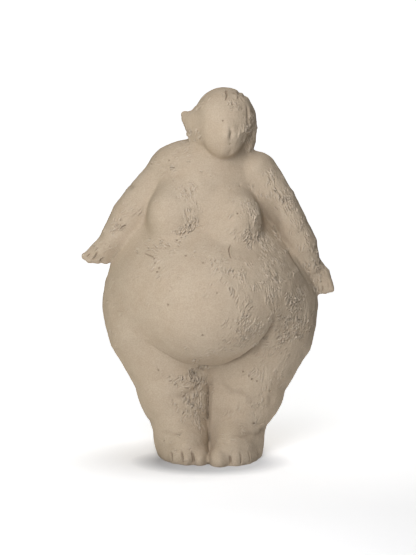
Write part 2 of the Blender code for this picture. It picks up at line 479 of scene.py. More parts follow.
class Clay:
    """The skin while it is worked: how far each point is raised, in units, and its marks.

    A point's marks run from 0 to 1: painted shade in a recess, painted highlight on a torn ridge, torn in
    a torn patch.
    Places on the front view are (x, z) in units, and a path is a row of them.
    """

    def __init__(self, mesh):
        self.mesh = mesh
        self.points = positions(mesh)
        self.out = normals(mesh)
        self.frontal = np.clip(0.6 - 0.7 * self.out[:, 1], 0.25, 1)
        self.raised = np.zeros(len(self.points))
        self.painted_shade = np.zeros(len(self.points))
        self.torn = np.zeros(len(self.points))
        self.painted_highlight = np.zeros(len(self.points))
        self.tree = KDTree(len(self.points))
        for index, point in enumerate(self.points):
            self.tree.insert(point, index)
        self.tree.balance()
        self.skin = BVHTree.FromPolygons(
            self.points.tolist(), [face.vertices[:] for face in mesh.polygons]
        )

    def find(self, side, a, z):
        """The point of the skin seen from one side at (a, z) units, with its way out."""
        way = Vector(side)
        start = Vector((a, 0, z)) if side[1] else Vector((0, a, z))
        hit, out, _, _ = self.skin.ray_cast(start * UNIT - way, way)
        return hit, out

    def near(self, place, reach):
        return np.array([hit[1] for hit in self.tree.find_range(place, reach)], int)

    def local(self, near, place, out, angle):
        """Along and across coordinates, in units, of points near a place; angle turns from up."""
        up = Vector((0, 0, 1)) - out * out.z
        if up.length < 0.1:
            up = Vector((0, 1, 0)) - out * out.y
        up.normalize()
        right = up.cross(out)
        along = up * math.cos(angle) + right * math.sin(angle)
        across = out.cross(along)
        away = (self.points[near] - np.array(place)) / UNIT
        return away @ np.array(along), away @ np.array(across)

    def crumple(self, side, a, z, width, height, angle, depth, grain, seed):
        """A soft-edged patch of fine torn ridges, with painted shade between them and painted highlight on
        them; angle turns from up, and grain is their coarseness.
        """
        facing = np.clip(-(self.out @ np.array(side)) * 4 - 0.2, 0, 1)
        flat = self.points[:, 0 if side[1] else 1] / UNIT
        high = self.points[:, 2] / UNIT
        weight = facing * np.exp(-(((flat - a) / width) ** 2) - ((high - z) / height) ** 2)
        near = np.nonzero(weight > LEAST_WEIGHT)[0]
        up, way = np.array((0, 0, 1.0)), np.array(side, float)
        right = np.cross(way, up)
        turn = math.radians(angle)
        along = up * math.cos(turn) + right * math.sin(turn)
        across = right * math.cos(turn) - up * math.sin(turn)
        turned = self.points[near] @ np.array((across, way, along)).T
        broad = noise(turned, TEAR_BROAD * grain, seed)
        fine = noise(turned, TEAR_FINE * grain, seed + 1)
        clump = noise(turned, TEAR_CLUMP, seed + 2)
        ridge = np.clip(1 - 2.4 * np.abs(broad), -0.6, 1)
        strength = TEAR_STRENGTH * depth * weight[near] * np.clip(0.6 + 1.1 * clump, 0, 1.6)
        self.raised[near] += strength * (0.6 * ridge + 0.45 * fine)
        # painted shade in the troughs, and painted highlight on the ridges
        self.painted_shade[near] += 0.25 * strength * np.clip(-ridge - 0.6 * fine, 0, 1)
        self.painted_highlight[near] += 0.5 * strength * np.clip(ridge + 0.5 * fine, 0, 1)
        self.torn[near] = np.maximum(self.torn[near], 1.4 * strength)

    def stroke(self, side, a, z, angle, length, width, depth, lip, bend, wave):
        """One groove with a raised lip beside it, or a ridge if depth is below zero, with painted shade in
        the groove and painted highlight on the lip or ridge.
        """
        place, out = self.find(side, a, z)
        if place is None or -out.dot(Vector(side)) < LEAST_FACING:
            return
        near = self.near(place, (length / 2 + 3 * width) * UNIT)
        along, across = self.local(near, place, out, math.radians(angle))
        share = along / (length / 2)
        across = across + bend * share**2 + wave * np.sin(4 * share)
        taper = np.clip(1 - np.abs(share) ** 3, 0, 1)
        cut = np.exp(-((across / width) ** 2)) * taper
        rim = np.exp(-(((across - 1.6 * width) / (0.85 * width)) ** 2)) * taper
        facing = self.out[near] @ np.array(out) > 0.2
        self.raised[near] += facing * depth * (lip * rim - cut)
        groove, ridge = (cut, rim) if depth > 0 else (rim, cut)
        # painted shade in the groove, and painted highlight on the lip or ridge
        self.painted_shade[near] += 0.45 * facing * abs(depth) * groove
        self.painted_highlight[near] += 0.9 * facing * abs(depth) * ridge

    def line(self, path, width, depth, lip, soft, dark):
        """A groove along a path, or a ridge if depth is below zero; its ends fade over soft units, and
        dark paints shade into the groove.
        """
        places = [self.find(FRONT, x, z)[0] for x, z in path]
        places = [np.array(place) for place in places if place is not None]
        if len(places) < 2:
            return
        spans = list(zip(places[:-1], places[1:]))
        span_lengths = [np.linalg.norm(end - start) for start, end in spans]
        whole = sum(span_lengths) / UNIT
        middle = sum(places) / len(places)
        reach = max(np.linalg.norm(place - middle) for place in places) + 4 * width * UNIT
        near = self.near(Vector(middle), reach)
        best = np.full(len(near), np.inf)
        travelled = np.zeros(len(near))
        done = 0
        for (start, end), length in zip(spans, span_lengths):
            along = (end - start) / length
            away = self.points[near] - start
            run = np.clip(away @ along, 0, length)
            gap = lengths(away - run[:, None] * along)
            closer = gap < best
            best = np.where(closer, gap, best)
            travelled = np.where(closer, done + run, travelled)
            done += length
        gap = best / UNIT
        travelled = travelled / UNIT
        fade = np.clip(travelled / soft, 0, 1) * np.clip((whole - travelled) / soft, 0, 1)
        fade = 0.15 + 0.85 * fade
        cut = np.exp(-((gap / width) ** 2)) * fade
        rim = np.exp(-(((gap - 2 * width) / width) ** 2)) * fade
        self.raised[near] += depth * (lip * rim - cut)
        # painted shade in the groove
        self.painted_shade[near] += dark * depth * cut

    def prick(self, x, z, radius, depth):
        """A pinhole, with painted shade in it."""
        place, _ = self.find(FRONT, x, z)
        if place is None:
            return
        near = self.near(place, 3 * radius * UNIT)
        gap = lengths(self.points[near] - np.array(place)) / UNIT
        cut = np.exp(-((gap / radius) ** 4))
        self.raised[near] -= depth * cut
        # painted shade in the pinhole
        self.painted_shade[near] += depth * cut

    def swell(self, x, z, width, height, lift, angle):
        """A broad soft bump, or a dent if lift is below zero; angle turns from up."""
        place, out = self.find(FRONT, x, z)
        if place is None:
            return
        near = self.near(place, 2.6 * max(width, height) * UNIT)
        along, across = self.local(near, place, out, math.radians(angle))
        facing = np.clip(self.out[near] @ np.array(out), 0, 1)
        self.raised[near] += facing * lift * np.exp(-((across / width) ** 2) - (along / height) ** 2)

    def paint_shade(self, x, z, width, height, angle, amount):
        """Paints shade into an oval on the front view; angle turns from up."""
        lean = math.radians(angle)
        away_x, away_z = self.points[:, 0] / UNIT - x, self.points[:, 2] / UNIT - z
        along = away_x * math.sin(lean) + away_z * math.cos(lean)
        across = away_x * math.cos(lean) - away_z * math.sin(lean)
        facing = np.clip(0.6 - 2 * self.out[:, 1], 0, 1)
        # painted shade on the surfaces that face the front
        self.painted_shade += amount * facing * np.exp(-((across / width) ** 2) - (along / height) ** 2)

    def notch(self, x, z, reach, depth):
        """A dent in the outline of the front view, or a bump if depth is below zero; the dent gets painted
        shade.
        """
        edge = 1 - np.abs(self.out[:, 1])
        cut = depth * np.clip(2 * edge - 0.4, 0, 1) * spot(self.points, x, z, reach, reach)
        self.raised -= cut
        # painted shade in the dent
        self.painted_shade += 0.5 * np.maximum(cut, 0)

    def finish(self):
        """The raised skin, with its marks as attributes for the material."""
        put(self.mesh, self.points + self.out * (self.raised * UNIT)[:, None])
        for name, values in (("painted_shade", self.painted_shade), ("torn", self.torn), ("painted_highlight", self.painted_highlight)):
            attribute = self.mesh.attributes.new(name, "FLOAT", "POINT")
            attribute.data.foreach_set("value", np.clip(values, 0, 1).astype(np.float32))
        return self.mesh


def model_by_hand(clay):
    """The broad unevenness that hands leave, and finer dabs on it, smoother towards the back."""
    for seed, (size, height) in enumerate(DABS, 1):
        clay.raised += height * noise(clay.points, (size,) * 3, seed)
    size, height = FINE_DABS
    clay.raised += height * clay.frontal * noise(clay.points, (size,) * 3, 3)


def brush(clay):
    """Faint streaks, upright on the belly, legs and back, and level on the chest and flanks."""
    points = clay.points
    chest = spot(points, -5, 226, 60, 18)
    left_flank = spot(points, -75, 128, 26, 34)
    left_arm = spot(points, -60, 200, 30, 30)
    level = np.clip(chest + left_flank + left_arm, 0, 1)
    upright = 1.2 * noise(points, (3.2, 3.2, 20), 4) + 0.6 * noise(points, (1.6, 1.6, 12), 5)
    flat = noise(points, (20, 20, 2.2), 6) + 0.6 * noise(points, (12, 12, 1.4), 7)
    patchy = 0.5 + 0.5 * noise(points, (26, 26, 26), 8)
    clay.raised += BRUSH_HEIGHT * clay.frontal * patchy * ((1 - level) * upright + level * flat)


# Torn patches: (side, a, z, width, height, angle, depth, grain, strokes)
PATCHES = (
    # cleavage, and below it
    (FRONT, -17, 216, 4.5, 7, -10, 0.26, 0.8, 16),
    (FRONT, -12.5, 204, 4, 9, -4, 0.26, 0.7, 36),
    (FRONT, -11.5, 193, 3.5, 9, 4, 0.20, 0.7, 26),
    (FRONT, -19, 184, 6, 5, 40, 0.24, 0.8, 16),
    (FRONT, 2, 184, 10, 7, 60, 0.10, 1.0, 10),
    (FRONT, 2, 222, 14, 7, 70, 0.10, 0.9, 10),
    # side of the right breast
    (FRONT, 36, 209, 6, 10, -12, 0.20, 0.9, 30),
    (FRONT, 37, 194, 5, 9, -5, 0.20, 0.9, 30),
    (FRONT, 39, 181, 7, 6, 40, 0.22, 0.9, 24),
    (FRONT, 27, 186, 8, 8, 35, 0.18, 0.8, 30),
    (FRONT, 20, 212, 7, 8, 40, 0.12, 0.8, 10),
    # column under it, leaning to the right
    (FRONT, 48, 172, 9, 10, -15, 0.24, 1.0, 40),
    (FRONT, 52, 155, 10, 14, -14, 0.24, 1.0, 60),
    (FRONT, 50, 136, 10, 12, -8, 0.22, 1.1, 45),
    (FRONT, 70, 138, 9, 11, 0, 0.20, 1.1, 40),
    (FRONT, 68, 127, 7, 7, 30, 0.22, 1.0, 20),
    # right hip and flank
    (FRONT, 64, 112, 12, 12, 36, 0.30, 1.0, 90),
    (FRONT, 76, 104, 10, 12, 30, 0.24, 1.0, 60),
    (FRONT, 58, 96, 12, 9, 42, 0.24, 1.0, 50),
    (FRONT, 60, 82, 14, 10, 32, 0.15, 1.1, 25),
    (FRONT, 82, 124, 7, 14, 5, 0.16, 1.1, 15),
    # lower right of the belly
    (FRONT, 30, 119, 11, 12, 20, 0.18, 0.9, 40),
    (FRONT, 38, 106, 10, 11, 30, 0.24, 0.9, 60),
    (FRONT, 26, 100, 11, 10, 32, 0.22, 0.9, 45),
    (FRONT, 20, 90, 12, 6, 50, 0.16, 0.9, 25),
    (FRONT, 22, 148, 12, 14, 15, 0.25, 0.9, 48),
    (FRONT, 8, 155, 9, 9, 20, 0.18, 0.9, 24),
    (FRONT, -2, 89, 16, 7, 60, 0.14, 0.9, 22),
    (FRONT, 6, 166, 8, 8, 30, 0.15, 0.8, 18),
    (FRONT, 6, 108, 14, 14, 35, 0.07, 0.9, 10),
    # rest of the belly, nearly smooth
    (FRONT, -22, 120, 26, 30, 15, 0.05, 0.9, 10),
    (FRONT, 0, 160, 26, 14, 70, 0.07, 0.9, 14),
    (FRONT, -60, 140, 18, 26, 60, 0.08, 1.1, 14),
    (FRONT, -66, 105, 14, 18, 50, 0.09, 1.1, 12),
    (FRONT, -82, 118, 8, 16, 30, 0.13, 1.0, 14),
    # right arm
    (FRONT, 57, 222, 8, 10, -20, 0.36, 1.0, 42),
    (FRONT, 66, 207, 8, 11, -20, 0.36, 1.0, 56),
    (FRONT, 76, 188, 8, 11, -10, 0.22, 1.0, 40),
    (FRONT, 86, 168, 7, 11, -15, 0.22, 1.0, 35),
    (FRONT, 92, 148, 8, 13, -8, 0.26, 1.0, 45),
    (FRONT, 44, 232, 10, 9, -30, 0.13, 1.0, 15),
    # left arm and shoulder
    (FRONT, -62, 197, 9, 9, 40, 0.13, 1.0, 18),
    (FRONT, -74, 184, 7, 9, 30, 0.22, 1.0, 22),
    (FRONT, -85, 171, 8, 8, 50, 0.24, 1.0, 24),
    (FRONT, -26, 234, 18, 9, 80, 0.18, 1.0, 34),
    (FRONT, -50, 214, 10, 12, 40, 0.09, 1.1, 8),
    # below the left breast
    (FRONT, -34, 171, 16, 6, 85, 0.26, 0.9, 34),
    (FRONT, -40, 157, 8, 9, 45, 0.20, 0.9, 20),
    # inner left thigh and calf
    (FRONT, -8, 68, 7, 9, 10, 0.34, 1.0, 60),
    (FRONT, -18, 57, 10, 6, 60, 0.22, 1.0, 25),
    (FRONT, -12, 41, 8, 12, 20, 0.32, 1.0, 66),
    (FRONT, -6, 28, 4, 11, 10, 0.22, 1.0, 22),
    (FRONT, -32, 60, 12, 16, 40, 0.09, 1.1, 10),
    # right leg
    (FRONT, 36, 65, 10, 8, 40, 0.15, 1.0, 14),
    (FRONT, 48, 64, 7, 10, 5, 0.18, 1.0, 18),
    (FRONT, 44, 38, 8, 14, 10, 0.20, 1.1, 28),
    (FRONT, 22, 40, 10, 14, 5, 0.12, 1.1, 14),
    (FRONT, 62, 60, 8, 14, 20, 0.16, 1.0, 18),
    # feet
    (FRONT, -22, 14, 16, 8, 70, 0.15, 1.0, 20),
    (FRONT, 26, 14, 16, 8, 70, 0.15, 1.0, 20),
    # hair and face
    (FRONT, 35.5, 266, 3.5, 16, 2, 0.34, 1.0, 40),
    (FRONT, 25, 264, 5, 7, 8, 0.14, 0.9, 5),
    (FRONT, -12, 262, 7, 7, 30, 0.30, 1.0, 24),
    (FRONT, -20, 250, 9, 8, 65, 0.22, 0.9, 22),
    (FRONT, 24, 285, 8, 7, 40, 0.20, 1.0, 14),
    (FRONT, -4, 284, 8, 8, 30, 0.16, 1.0, 12),
    # flanks
    (FROM_RIGHT, 10, 205, 14, 22, 10, 0.16, 1.3, 12),
    (FROM_RIGHT, 20, 150, 22, 30, -8, 0.16, 1.4, 14),
    (FROM_RIGHT, 20, 100, 26, 26, 25, 0.18, 1.4, 16),
    (FROM_RIGHT, 0, 45, 16, 24, 10, 0.14, 1.4, 10),
    (FROM_RIGHT, 6, 266, 12, 16, 0, 0.26, 1.4, 14),
    (FROM_LEFT, 10, 205, 14, 22, 20, 0.12, 1.3, 10),
    (FROM_LEFT, 20, 150, 22, 30, 40, 0.12, 1.4, 12),
    (FROM_LEFT, 20, 100, 26, 26, 60, 0.12, 1.4, 12),
    (FROM_LEFT, 0, 45, 16, 24, 20, 0.12, 1.4, 8),
    (FROM_LEFT, 6, 266, 12, 16, 0, 0.20, 1.4, 10),
    # back
    (BACK, 0, 210, 36, 26, 10, 0.11, 1.5, 14),
    (BACK, 0, 165, 40, 24, 30, 0.11, 1.5, 14),
    (BACK, 33, 110, 26, 26, 30, 0.12, 1.5, 12),
    (BACK, -33, 110, 26, 26, -20, 0.12, 1.5, 12),
    (BACK, 0, 45, 36, 26, 10, 0.11, 1.5, 12),
    (BACK, 10, 268, 20, 18, 0, 0.26, 1.5, 20),
)

# Pinholes: (x, z)
PINHOLES = (
    (25.4, 220.4), (23.6, 199.9), (-42.9, 164.0), (-25.0, 178.2), (-12.5, 216.8), (-31.7, 240.9),
    (-48.2, 171.3), (-17.5, 167.3), (-42.3, 160.9), (-39.0, 157.4), (-40.6, 154.3), (-3.9, 162.6),
    (7.1, 139.4), (-4.4, 105.8), (-31.5, 129.5), (28.4, 70.7), (33.2, 67.2), (39.7, 63.0),
    (35.6, 64.7), (50.5, 53.9), (37.6, 28.2), (-35.9, 15.0), (-40.1, 71.6), (20.0, 286.7),
    (11.8, 273.4), (17.6, 254.6), (66.2, 145.8), (77.2, 133.4), (71.3, 139.7),
)

PINHOLE_RADII = (0.5, 0.8)
PINHOLE_DEPTHS = (1.1, 1.7)

LEG_SLIT = ((0.6, 72), (0.2, 55), (0, 48.6), (-0.4, 38), (-0.2, 31.4), (0.8, 14), (1.2, 6))
UNDER_BELLY = ((13.8, 76.4), (26.6, 82.6), (36.7, 90.2), (44.2, 97.2), (50, 105))

# Grooves, and ridges where the depth is below zero: (path, width, depth, lip, soft ends, strength of the
# painted shade)
LINES = (
    # fold between the right arm and the flank
    (((65, 168), (70, 160), (77, 149), (83, 140)), 2.4, 1.2, 0, 9, 0.25),
    # under the belly
    (((-8, 75.8), (1.3, 74.8), *UNDER_BELLY), 1.2, 1.2, 0, 8, 0.4),
    ((*UNDER_BELLY, (53, 113), (54, 120)), 2.6, 2.4, 0, 14, 0.32),
    (((34, 85.5), (43, 92.5), (49, 100), (53, 108)), 3.8, 2.2, 0, 9, 0.12),
    (((-52, 98), (-32.3, 84.7), (-19.4, 77.5), (-6, 76.5)), 1.3, 0.7, 0.1, 14, 0.4),
    # knees
    (((-29.5, 50.5), (-21, 51.3), (-13.5, 53.5), (-8.5, 57.5), (-5.5, 61)), 2.2, 1.3, 0.2, 8, 0.25),
    (((10, 62), (19, 54), (27.6, 53.1), (36, 48), (44, 50)), 2.4, 1.1, 0.2, 10, 0.3),
    (((30, 47.2), (38, 44.4)), 1.2, 0.5, 0.3, 3, 0.5),
    # ankles
    (((-38, 21.5), (-23.6, 22.5), (-9.4, 23.1)), 1.5, 0.8, 0.2, 6, 0.4),
    (((20, 22.5), (27, 21), (34, 21.8), (40, 20.5)), 1.5, 0.8, 0.2, 7, 0.4),
    (((37, 19.5), (42, 20), (46, 22.5)), 1.8, 1.2, 0.1, 4, 0.4),
    (((40, 24.5), (44, 25), (47, 27.5)), 1.0, -0.9, 0.2, 2, 0),
    # slit between the legs
    (LEG_SLIT, 0.9, 0.6, 0, 5, 1.2),
    # cracks in the belly, left arm and shoulder
    (((18, 175.3), (16.9, 172.5), (16.7, 170.2), (17.2, 167.5), (18.4, 165.1)), 0.42, 1.1, 0.3, 2, 2),
    (((-71.8, 184.7), (-69.5, 187), (-66.5, 188)), 0.42, 1.2, 0.8, 1.5, 1.5),
    (((-62.8, 193.7), (-51.9, 203.2)), 0.5, 0.35, 0.6, 3, 1),
    (((-51, 167.3), (-43.2, 164.7)), 0.5, 0.8, 0.5, 1.5, 1.3),
    (((-74, 119.3), (-68.9, 119.9)), 0.5, 0.35, 0.4, 1.5, 1),
    # two crossed ridges on the right flank
    (((64.5, 133.1), (72.1, 125.1)), 0.6, -0.5, 0.6, 2, 0),
    (((64.6, 125.8), (72.1, 132.4)), 0.6, -0.5, 0.6, 2, 0),
    # edge of the hanging lock
    (((31.5, 284), (31.9, 272), (32.1, 262), (33.0, 251)), 1.3, 1.9, 0.2, 4, 0.45),
    # painted shade along the lock, with a very shallow groove
    (((34.2, 284), (35.4, 272), (35.4, 260), (35, 252)), 2.8, 0.3, 0, 4, 1.1),
    # chips on the crown
    (((15.3, 297.4), (14.4, 295.5), (15.2, 293.2), (14.3, 290)), 0.6, 1.3, 0.5, 1, 1.4),
    (((13.2, 297), (13.0, 295)), 0.5, 0.6, 0.4, 1, 1),
    (((20.3, 295.4), (23, 294.6)), 0.9, 1.0, 0.2, 1, 1.4),
    (((24.0, 293.4), (24.4, 290.8)), 0.6, 1.0, 0.3, 1, 1.2),
    (((25.4, 292.6), (28.4, 289.0)), 0.8, 1.1, 0.4, 1, 1.2),
    # left instep
    (((-23.2, 11.6), (-12.8, 8.5)), 0.6, 0.35, 0.4, 3, 1),
    # between the fingers of the right hand
    (((94.4, 138), (94.7, 132.6)), 0.6, 1.1, 0.3, 1.5, 1),
    (((99.0, 141), (99.4, 134.5)), 0.6, 0.5, 0.3, 2, 1),
    (((90.0, 140), (90.2, 133.5)), 0.6, 0.4, 0.3, 2, 1),
    # between the fingers of the left hand
    (((-96.4, 164.4), (-98.4, 162.6), (-99.6, 160.4)), 0.45, 1.2, 0.7, 2, 1),
    (((-90.9, 165.0), (-92.6, 161.8), (-95.4, 158.4)), 0.45, 1.2, 0.7, 2, 1),
    (((-85.4, 160.8), (-88.0, 159.4), (-89.4, 156.6)), 0.45, 1.2, 0.7, 2, 1),
)

# Soft bumps and dents: (x, z, width, height, lift, angle)
SWELLS = (
    # between the right breast and arm
    (53, 194, 6.5, 13, -3.2, 20),
    # right calf, inner edges of the legs, and inner left thigh
    (52, 46, 4, 6, -1.6, 0),
    (-7, 50, 5, 26, -0.9, 0),
    (4.0, 48, 2.2, 26, 0.6, 0),
    (-7, 71, 6, 8, -1.2, 10),
    # hanging lock
    (36, 266, 3.2, 15, -1.5, 0),
    # ridge of the nose and the soft dent beside it
    (15.2, 262, 1.8, 3.6, 1.3, -6),
    (19.2, 262, 1.9, 3.6, -2.1, 14),
    (18.2, 267, 1.3, 1.8, -0.9, -10),
    # unevenness of the face
    (10.8, 261.5, 2.4, 2.6, 0.6, 0),
    (9.2, 266, 3.0, 2.6, -0.6, 0),
    (22.4, 257.5, 1.8, 2.6, 0.7, 0),
    (28.5, 265, 1.8, 3.0, 0.9, 0),
    (24.8, 268, 2.2, 2.4, -0.8, 0),
    (25.0, 262, 1.5, 2.4, 0.6, 0),
    (28.5, 259, 1.8, 3.0, -0.7, 0),
    (12.0, 250, 2.4, 5.0, 0.5, 0),
    (17.8, 248, 1.6, 3.6, -0.8, 0),
    # beside the chips on the crown
    (22.4, 292.6, 1.3, 1.4, 0.9, 0),
)

# Painted shade, in darker ovals: (x, z, width, height, angle, amount)
PAINTED_SHADE_OVALS = (
    # between the right arm and the trunk
    (54.5, 192, 4.5, 13, -22, 0.4),
    (62, 178, 3.5, 9, -28, 0.3),
    # slit between the feet, and right instep
    (0.7, 18, 1.3, 18, 0, 0.5),
    (22, 13, 10, 6, 0, 0.28),
)

# Dents in the outline, and bumps where the depth is below zero: (x, z, reach, depth)
NOTCHES = (
    # left shoulder, curls of the hair, left hip, thigh and ankle, and right ankle
    (-62.4, 218.6, 1.8, 1.5),
    (-16.0, 264.2, 1.6, 1.0),
    (-17.2, 260.8, 1.8, -0.8),
    (-53.8, 91.1, 2.0, 0.5),
    (-63.2, 64.8, 2.5, 0.5),
    (-47.5, 27.1, 2.0, 0.8),
    (48.0, 22.9, 2.0, 1.0),
    # right edge of the hair
    (25.5, 295.8, 1.5, 1.5),
    (29.5, 293.2, 1.4, 0.9),
    (32.5, 290.5, 2.2, -0.5),
    (36.5, 278.0, 2.5, -0.4),
    (39.5, 261.0, 2.0, 0.5),
    # arms
    (-55.0, 226.0, 4.0, -0.5),
    (-74.0, 202.0, 5.0, -0.4),
    (82.0, 190.0, 4.0, 0.5),
)

# Slits between the toes: (x, top); the toes that swell beside them: x; strands of the lock: (x, top)
TOE_SLITS = ((-28.9, 8.5), (-20.3, 10.5), (-11.8, 10.5), (17.6, 8.5), (26.6, 10.2), (33.3, 9.8), (40.2, 9))
TOE_TIPS = (-31, -23.6, -15.5, -6.6, 9.5, 22, 30, 36.8, 43)
STRANDS = ((34.8, 280), (36.6, 274), (37.8, 267))


def crumple_patches(clay):
    for number, (side, a, z, width, height, angle, depth, grain, _) in enumerate(PATCHES):
        clay.crumple(side, a, z, width, height, angle, depth, grain, 20 + 3 * number)


def tear_strokes(clay):
    """Families of short side-by-side tears, some cut in and some pushed up, in each patch."""
    chance = np.random.default_rng(SEED)
    for side, a, z, width, height, angle, depth, _, strokes in PATCHES:
        for _ in range(math.ceil(strokes / 3)):
            middle_a = chance.normal(a, TEAR_SPREAD * width)
            middle_z = chance.normal(z, TEAR_SPREAD * height)
            turn = chance.normal(angle, TEAR_TURN)
            spacing = chance.uniform(1.2, 1.9)
            reach = chance.uniform(2.2, 5.5)
            count = chance.integers(2, 6)
            for place in range(count):
                lean = math.radians(turn)
                aside = (place - count / 2) * spacing
                slip = chance.normal(0, 1.0)
                at_a = middle_a + aside * math.cos(lean) + slip * math.sin(lean)
                at_z = middle_z - aside * math.sin(lean) + slip * math.cos(lean)
                deep = TEAR_STRENGTH * (0.07 + 1.15 * depth) * chance.uniform(0.3, 1.3)
                if chance.random() < PUSHED_UP:
                    deep = -0.8 * deep
                own_turn = turn + chance.normal(0, TEAR_SHAKE)
                length = reach * chance.uniform(0.7, 1.3)
                thick = chance.uniform(0.36, 0.54)
                bend, wave = chance.normal(0, 0.6), chance.normal(0, 0.25)
                clay.stroke(side, at_a, at_z, own_turn, length, thick, deep, 0.9, bend, wave)


def prick_pinholes(clay):
    chance = np.random.default_rng(SEED + 1)
    for x, z in PINHOLES:
        clay.prick(x, z, chance.uniform(*PINHOLE_RADII), chance.uniform(*PINHOLE_DEPTHS))


def draw_marks(clay):
    """Folds, slits, cracks and chips, the soft forms round them, ovals of painted shade, and the nicks in
    the outline.
    """
    for mark in LINES:
        clay.line(*mark)
    for mark in SWELLS:
        clay.swell(*mark)
    for mark in PAINTED_SHADE_OVALS:
        clay.paint_shade(*mark)
    for mark in NOTCHES:
        clay.notch(*mark)


def part_toes(clay):
    for x, top in TOE_SLITS:
        # each slit between the toes gets painted shade
        clay.line(((x - 0.9, top), (x, 6.5), (x + 0.2, 4), (x - 0.2, 1.5)), 0.75, 1.5, 0.2, 2, 1.2)
    for x in TOE_TIPS:
        clay.swell(x, 5.5, 2.6, 3.2, 0.8, 0)


def comb_lock(clay):
    for x, top in STRANDS:
        path = ((x, top), (x + 0.7, top - 6), (x - 0.3, top - 12), (x + 0.5, top - 18))
        # each strand gets a little painted shade
        clay.line(path, 0.7, 0.7, 0.6, 3, 0.8)


def thin(mesh):
    """The finished skin with fewer faces where it is smooth."""
    rough = new_object("rough_skin", mesh)
    modifier = rough.modifiers.new("Fewer faces", "DECIMATE")
    modifier.ratio = min(1, TRIANGLES / sum(len(face.vertices) - 2 for face in mesh.polygons))
    made = evaluated_mesh(rough)
    bpy.data.objects.remove(rough)
    return made


def flatten_soles(mesh):
    points = positions(mesh)
    points[:, 2] = np.maximum(points[:, 2], 0)
    put(mesh, points)


def keep_in_cad_box(mesh):
    low, high = (np.array(corner) for corner in CAD_BOX)
    put(mesh, np.clip(positions(mesh), low, high))


# Materials


class Shader:
    """A new material with a Principled surface, and short ways to add nodes to it."""

    def __init__(self, name):
        self.material = bpy.data.materials.new(name)
        self.material.use_nodes = True
        self.tree = self.material.node_tree
        self.surface = self.tree.nodes["Principled BSDF"]
        self.place = self.add("ShaderNodeTexCoord", {})["Object"]

    def feed(self, socket, value):
        """Joins another node's output to a socket, or sets the socket's own value."""
        if isinstance(value, bpy.types.NodeSocket):
            self.tree.links.new(value, socket)
        else:
            socket.default_value = value

    def add(self, kind, inputs, **settings):
        """The outputs of a new node."""
        node = self.tree.nodes.new(kind)
        for name, value in settings.items():
            setattr(node, name, value)
        for name, value in inputs.items():
            self.feed(node.inputs[name], value)
        return node.outputs

    def finish(self, inputs):
        """The material, once its surface has its inputs."""
        for name, value in inputs.items():
            self.feed(self.surface.inputs[name], value)
        return self.material

    def noise(self, scale, detail, roughness=0.5):
        inputs = {"Vector": self.place, "Scale": scale, "Detail": detail, "Roughness": roughness}
        return self.add("ShaderNodeTexNoise", inputs)["Fac"]

    def mark(self, name):
        """One of the clay's marks."""
        return self.add("ShaderNodeAttribute", {}, attribute_name=name)["Fac"]

    def maths(self, operation, *values, clamp=False):
        inputs = dict(enumerate(values))
        return self.add("ShaderNodeMath", inputs, operation=operation, use_clamp=clamp)["Value"]

    def mix(self, share, a, b, blend="MIX"):
        inputs = {"Factor": share, "A": a, "B": b}
        return self.add("ShaderNodeMix", inputs, data_type="RGBA", blend_type=blend)["Result"]

    def ramp(self, value, stops):
        """Colours that run through stops of (position, colour)."""
        node = self.tree.nodes.new("ShaderNodeValToRGB")
        elements = node.color_ramp.elements
        for position, _ in stops[2:]:
            elements.new(position)
        for element, (position, colour) in zip(elements, stops):
            element.position = position
            element.color = colour
        self.feed(node.inputs["Fac"], value)
        return node.outputs["Color"]

    def map_range(self, value, low, high, to_low, to_high):
        inputs = {"Value": value, "From Min": low, "From Max": high, "To Min": to_low, "To Max": to_high}
        return self.add("ShaderNodeMapRange", inputs)["Result"]

    def oval(self, x, y, width, depth):
        """A soft oval on the floor, 1 in its middle and 0 from its edge on; sizes are half widths."""
        inputs = {"Vector": self.place, "Location": (x, y, 0), "Scale": (width, depth, 1)}
        inside = self.add("ShaderNodeMapping", inputs, vector_type="TEXTURE")["Vector"]
        return self.add("ShaderNodeTexGradient", {"Vector": inside}, gradient_type="SPHERICAL")["Fac"]


def grey(value):
    return (value, value, value, 1)


MOTTLE = ((0.3, (0.455, 0.366, 0.270, 1)), (0.7, (0.495, 0.410, 0.312, 1)))
SPECKS = ((0.35, (0.88, 0.87, 0.86, 1)), (0.65, (1, 1, 1, 1)))
# Painted shade for the recesses, and painted highlight for the torn ridges
PAINTED_SHADE_COLOUR = (0.15, 0.11, 0.075, 1)
PAINTED_HIGHLIGHT_COLOUR = (0.66, 0.58, 0.48, 1)
PAINTED_SHADE_SHARE = 0.58
PAINTED_HIGHLIGHT_SHARE = 0.5
CLAY_ROUGHNESS = 0.92
CLAY_SHINE = 0.1

# Fine bump: (strength, height in metres)
GRAIN_BUMP = (0.5, 0.00025)
SHRED_BUMP = (0.8, 0.0014)


def clay_colour(shader):
    """Mottled and speckled beige, with painted highlight on the torn crests and painted shade in the
    recesses.
    """
    mottled = shader.ramp(shader.noise(45, 5, 0.6), MOTTLE)
    specks = shader.ramp(shader.noise(900, 3), SPECKS)
    speckled = shader.mix(1, mottled, specks, "MULTIPLY")
    # painted highlight on the crests, then painted shade in the recesses
    pale = shader.maths("MULTIPLY", shader.mark("painted_highlight"), PAINTED_HIGHLIGHT_SHARE)
    paled = shader.mix(pale, speckled, PAINTED_HIGHLIGHT_COLOUR)
    dark = shader.maths("MULTIPLY", shader.mark("painted_shade"), PAINTED_SHADE_SHARE)
    return shader.mix(dark, paled, PAINTED_SHADE_COLOUR)


